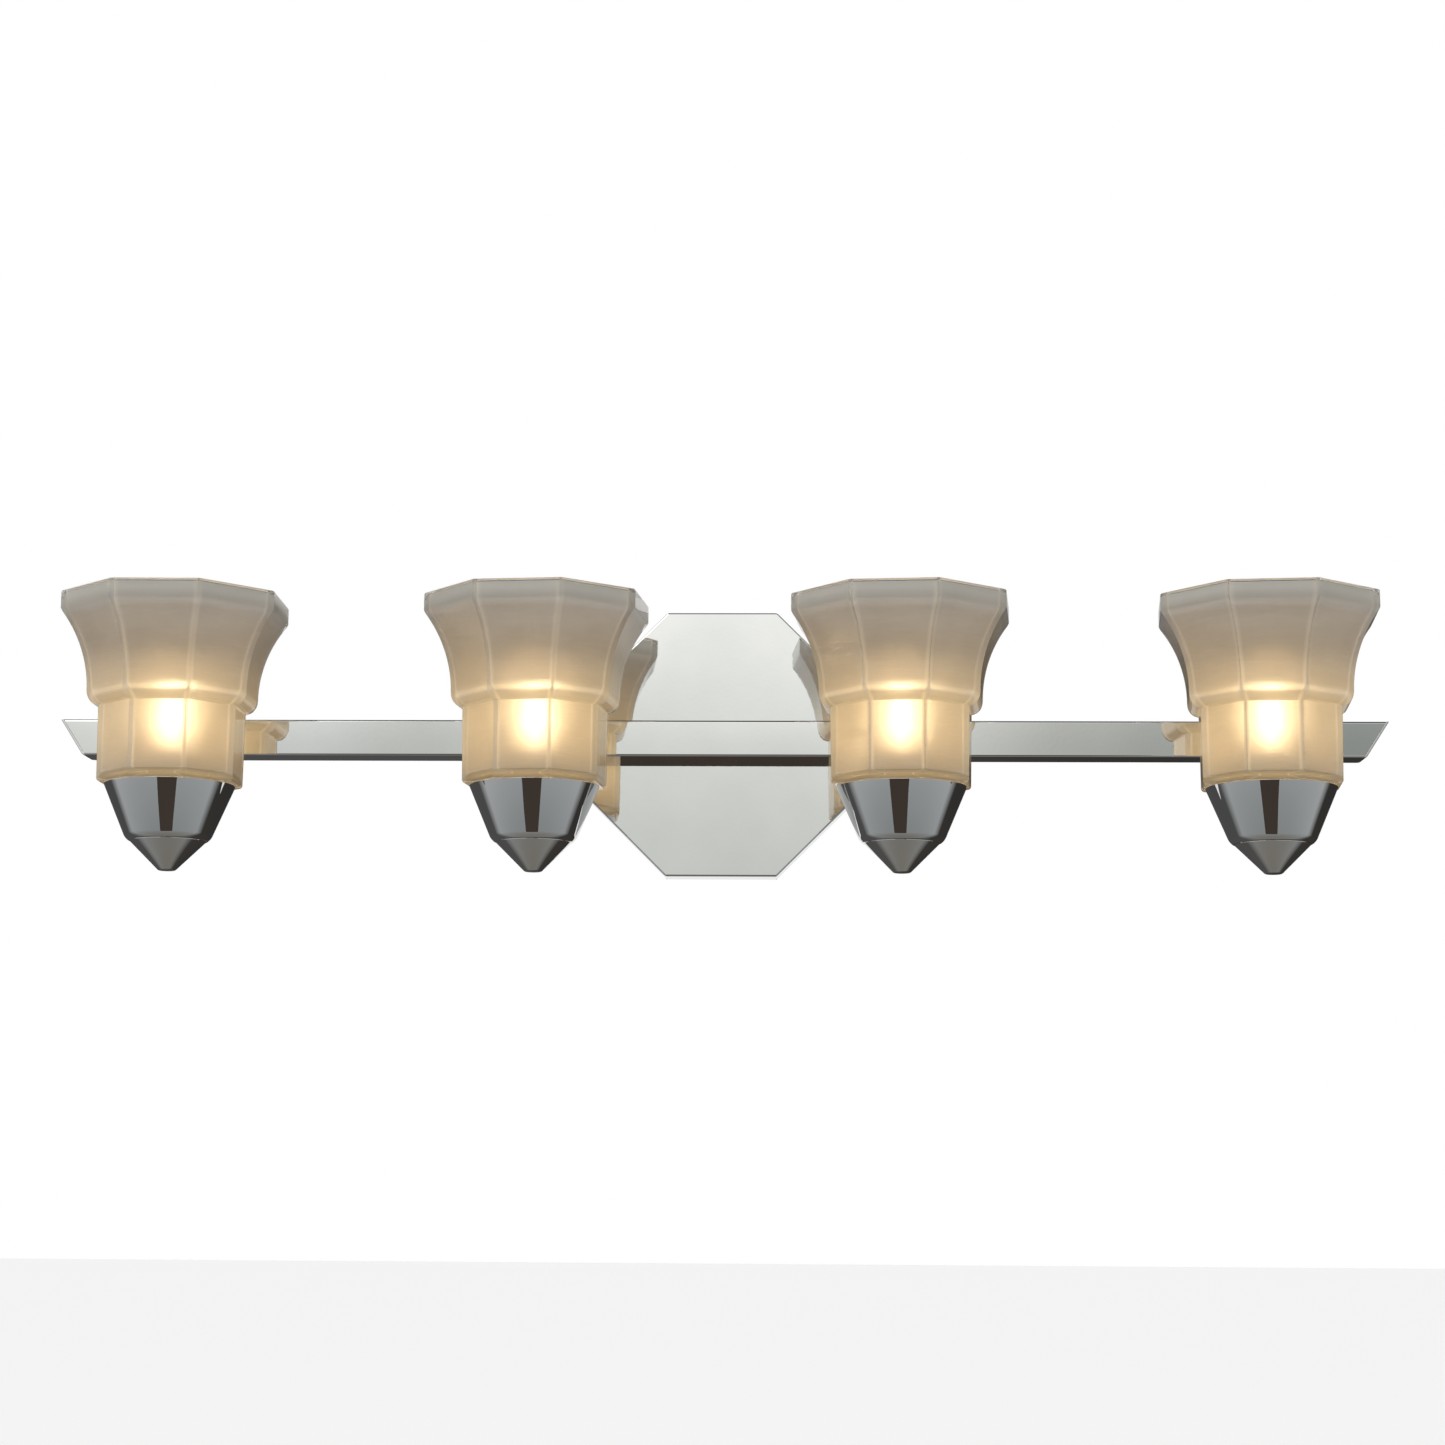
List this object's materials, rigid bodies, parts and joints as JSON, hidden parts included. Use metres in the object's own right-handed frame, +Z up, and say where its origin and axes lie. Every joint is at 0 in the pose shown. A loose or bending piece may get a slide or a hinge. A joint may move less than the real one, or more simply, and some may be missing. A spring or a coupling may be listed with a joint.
{
  "type": "vanity light bar",
  "caption": "Wall-mounted vanity light bar: octagonal chrome canopy, slant-ended bar, and upright eight-sided frosted glass shades in cone cups around screw-in bulbs.",
  "frame": {"origin": "centre of the canopy on the wall plane, at the bar's mid-height", "axes": "+X along the bar, +Y into the wall, +Z up"},
  "size_m": [0.8382, 0.1632, 0.1758],
  "materials": {
    "polished_chrome": "mirror-polished chrome plate",
    "zinc_steel": "bright zinc plate",
    "pressed_glass": "thick pressed glass, glossy outside and frosted inside",
    "bulb_glass": "frosted, lit",
    "bulb_cap_metal": "rolled thread, satin",
    "porcelain": "glazed",
    "screw_shell_metal": "bright",
    "contact_brass": "bright",
    "ring_plastic": "moulded, ribbed edge",
    "block_plastic": "moulded",
    "ground_green": "green-dyed zinc plate",
    "hot_insulation": "wire insulation",
    "neutral_insulation": "wire insulation"
  },
  "bodies": {
    "fixture": {"canopy": "polished_chrome", "bar_channel": "polished_chrome", "bar_end_cap_left": "polished_chrome", "bar_end_cap_right": "polished_chrome", "canopy_screws": "polished_chrome", "arm_1": "polished_chrome", "arm_2": "polished_chrome", "arm_3": "polished_chrome", "arm_4": "polished_chrome", "cup_1": "polished_chrome", "cup_2": "polished_chrome", "cup_3": "polished_chrome", "cup_4": "polished_chrome", "finial_1": "polished_chrome", "finial_2": "polished_chrome", "finial_3": "polished_chrome", "finial_4": "polished_chrome", "mounting_strap": "zinc_steel", "bar_back_plate": "zinc_steel", "bar_bolts": "zinc_steel", "bar_washers": "zinc_steel", "bar_nuts": "zinc_steel", "arm_nuts": "zinc_steel", "nipples": "zinc_steel", "nipple_nuts": "zinc_steel", "socket_body_1": "porcelain", "socket_body_2": "porcelain", "socket_body_3": "porcelain", "socket_body_4": "porcelain", "screw_shell_1": "screw_shell_metal", "screw_shell_2": "screw_shell_metal", "screw_shell_3": "screw_shell_metal", "screw_shell_4": "screw_shell_metal", "socket_contacts": "contact_brass", "socket_ring_1": "ring_plastic", "socket_ring_2": "ring_plastic", "socket_ring_3": "ring_plastic", "socket_ring_4": "ring_plastic", "terminal_block": "block_plastic", "bushing": "block_plastic", "ground_screw": "ground_green", "hot_leads": "hot_insulation", "neutral_leads": "neutral_insulation"},
    "shade_1": {"shade_glass_1": "pressed_glass"},
    "bulb_1": {"bulb_glass_1": "bulb_glass", "bulb_cap_1": "bulb_cap_metal"},
    "shade_2": {"shade_glass_2": "pressed_glass"},
    "bulb_2": {"bulb_glass_2": "bulb_glass", "bulb_cap_2": "bulb_cap_metal"},
    "shade_3": {"shade_glass_3": "pressed_glass"},
    "bulb_3": {"bulb_glass_3": "bulb_glass", "bulb_cap_3": "bulb_cap_metal"},
    "shade_4": {"shade_glass_4": "pressed_glass"},
    "bulb_4": {"bulb_glass_4": "bulb_glass", "bulb_cap_4": "bulb_cap_metal"}
  },
  "joints": [
    {"name": "shade_1_turn", "type": "hinge", "parent": "fixture", "child": "shade_1", "pos_m": [-0.336, -0.0955, 0], "axis": [0, 0, 1], "continuous": true},
    {"name": "bulb_1_lift", "type": "slide", "parent": "fixture", "child": "bulb_1", "axis": [0, 0, 1], "range_m": [0, 0.14]},
    {"name": "shade_2_turn", "type": "hinge", "parent": "fixture", "child": "shade_2", "pos_m": [-0.112, -0.0955, 0], "axis": [0, 0, 1], "continuous": true},
    {"name": "bulb_2_lift", "type": "slide", "parent": "fixture", "child": "bulb_2", "axis": [0, 0, 1], "range_m": [0, 0.14]},
    {"name": "shade_3_turn", "type": "hinge", "parent": "fixture", "child": "shade_3", "pos_m": [0.112, -0.0955, 0], "axis": [0, 0, 1], "continuous": true},
    {"name": "bulb_3_lift", "type": "slide", "parent": "fixture", "child": "bulb_3", "axis": [0, 0, 1], "range_m": [0, 0.14]},
    {"name": "shade_4_turn", "type": "hinge", "parent": "fixture", "child": "shade_4", "pos_m": [0.336, -0.0955, 0], "axis": [0, 0, 1], "continuous": true},
    {"name": "bulb_4_lift", "type": "slide", "parent": "fixture", "child": "bulb_4", "axis": [0, 0, 1], "range_m": [0, 0.14]}
  ]
}
